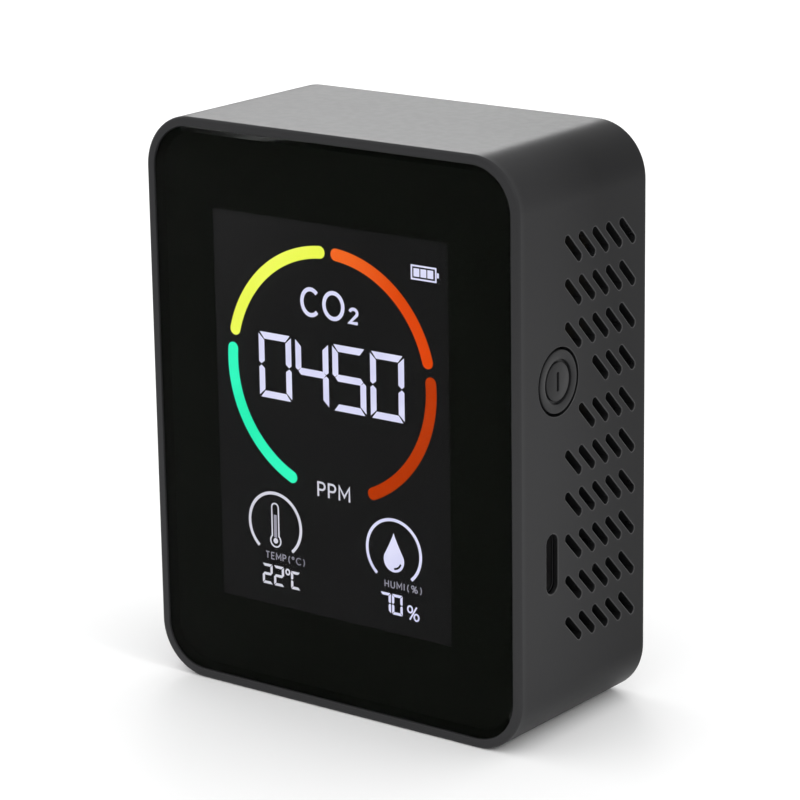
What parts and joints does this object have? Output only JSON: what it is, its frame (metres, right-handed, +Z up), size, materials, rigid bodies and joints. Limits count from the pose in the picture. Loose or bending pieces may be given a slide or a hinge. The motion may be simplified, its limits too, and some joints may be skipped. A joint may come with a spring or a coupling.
{
  "type": "carbon dioxide monitor",
  "caption": "Desktop air monitor in a black upright case, showing carbon dioxide, temperature and humidity behind a glossy face, with side vents, a power button and a charging inlet.",
  "frame": {"origin": "middle of the underside, where the monitor stands", "axes": "+Z up, the glossy face looks towards -Y, and the button and inlet are on the +X side"},
  "size_m": [0.0666, 0.032, 0.086],
  "materials": {
    "case_black": "fine matt moulded black plastic",
    "lens_black": "polished black-backed acrylic",
    "tape_black": "black double-sided tape",
    "film_grey": "dark polarizer film",
    "display_glass": "clear glass",
    "frame_white": "white moulded plastic",
    "guide_acrylic": "clear acrylic",
    "elastomer_grey": "layered conductive elastomer",
    "board_green": "green solder-masked glass-epoxy laminate",
    "chip_epoxy": "moulded black epoxy",
    "plated_steel": "bright nickel plate",
    "black_nickel": "satin black nickel plate",
    "gold_plate": "gold-plated metal",
    "pouch_foil": "laminated aluminium pouch foil",
    "polyimide_tape": "amber polyimide tape",
    "foam_black": "soft closed-cell foam",
    "membrane_white": "white porous film",
    "nylon_white": "natural nylon",
    "wire_red": "red wire insulation",
    "wire_black": "black wire insulation",
    "lit_white": "display figures lit from behind, lavender white",
    "lit_yellow": "display arc lit from behind, lemon yellow",
    "lit_orange": "display arc lit from behind, orange",
    "lit_red": "display arc lit from behind, rust red",
    "lit_green": "display arc lit from behind, sea green"
  },
  "bodies": {
    "case": {"backlight_frame": "frame_white", "backlight_guide": "guide_acrylic", "backlight_led_strip": "board_green", "backlight_reflector": "membrane_white", "battery_cell": "pouch_foil", "battery_foam_pad": "foam_black", "battery_lead_black": "wire_black", "battery_lead_red": "wire_red", "battery_plug": "nylon_white", "battery_protection_board": "polyimide_tape", "battery_socket": "nylon_white", "board_screw_1": "plated_steel", "board_screw_2": "plated_steel", "board_screw_3": "plated_steel", "board_screw_4": "plated_steel", "boost_inductor": "chip_epoxy", "charger_chip": "chip_epoxy", "clock_crystal": "plated_steel", "co2_filter_membrane_1": "membrane_white", "co2_filter_membrane_2": "membrane_white", "co2_gas_chamber": "gold_plate", "co2_header_1": "chip_epoxy", "co2_header_2": "chip_epoxy", "co2_infrared_detector": "plated_steel", "co2_infrared_lamp": "display_glass", "co2_sensor_board": "board_green", "cover_screw_1": "plated_steel", "cover_screw_2": "plated_steel", "cover_screw_3": "plated_steel", "cover_screw_4": "plated_steel", "front_housing": "case_black", "front_lens": "lens_black", "lcd_front_glass": "display_glass", "lcd_polarizer": "film_grey", "lcd_rear_glass": "display_glass", "lcd_zebra_strip": "elastomer_grey", "lens_adhesive": "tape_black", "main_board": "board_green", "mcu_chip": "chip_epoxy", "rear_cover": "case_black", "smoothing_capacitor": "plated_steel", "tact_switch_body": "chip_epoxy", "temp_humidity_sensor": "nylon_white", "usb_c_shell": "black_nickel", "usb_c_tongue": "chip_epoxy"},
    "button": {"power_button": "case_black"},
    "plunger": {"tact_switch_plunger": "nylon_white"}
  },
  "joints": [
    {"name": "button_press", "type": "slide", "parent": "case", "child": "button", "axis": [-1, 0, 0], "range_m": [0, 0.0005], "stiffness_N_per_m": 1000, "springref_m": -0.0004},
    {"name": "plunger_press", "type": "slide", "parent": "case", "child": "plunger", "axis": [-1, 0, 0], "range_m": [0, 0.00025]}
  ],
  "couplings": [
    {"joint": "plunger_press", "follows": "button_press", "ratio": 0.5}
  ]
}
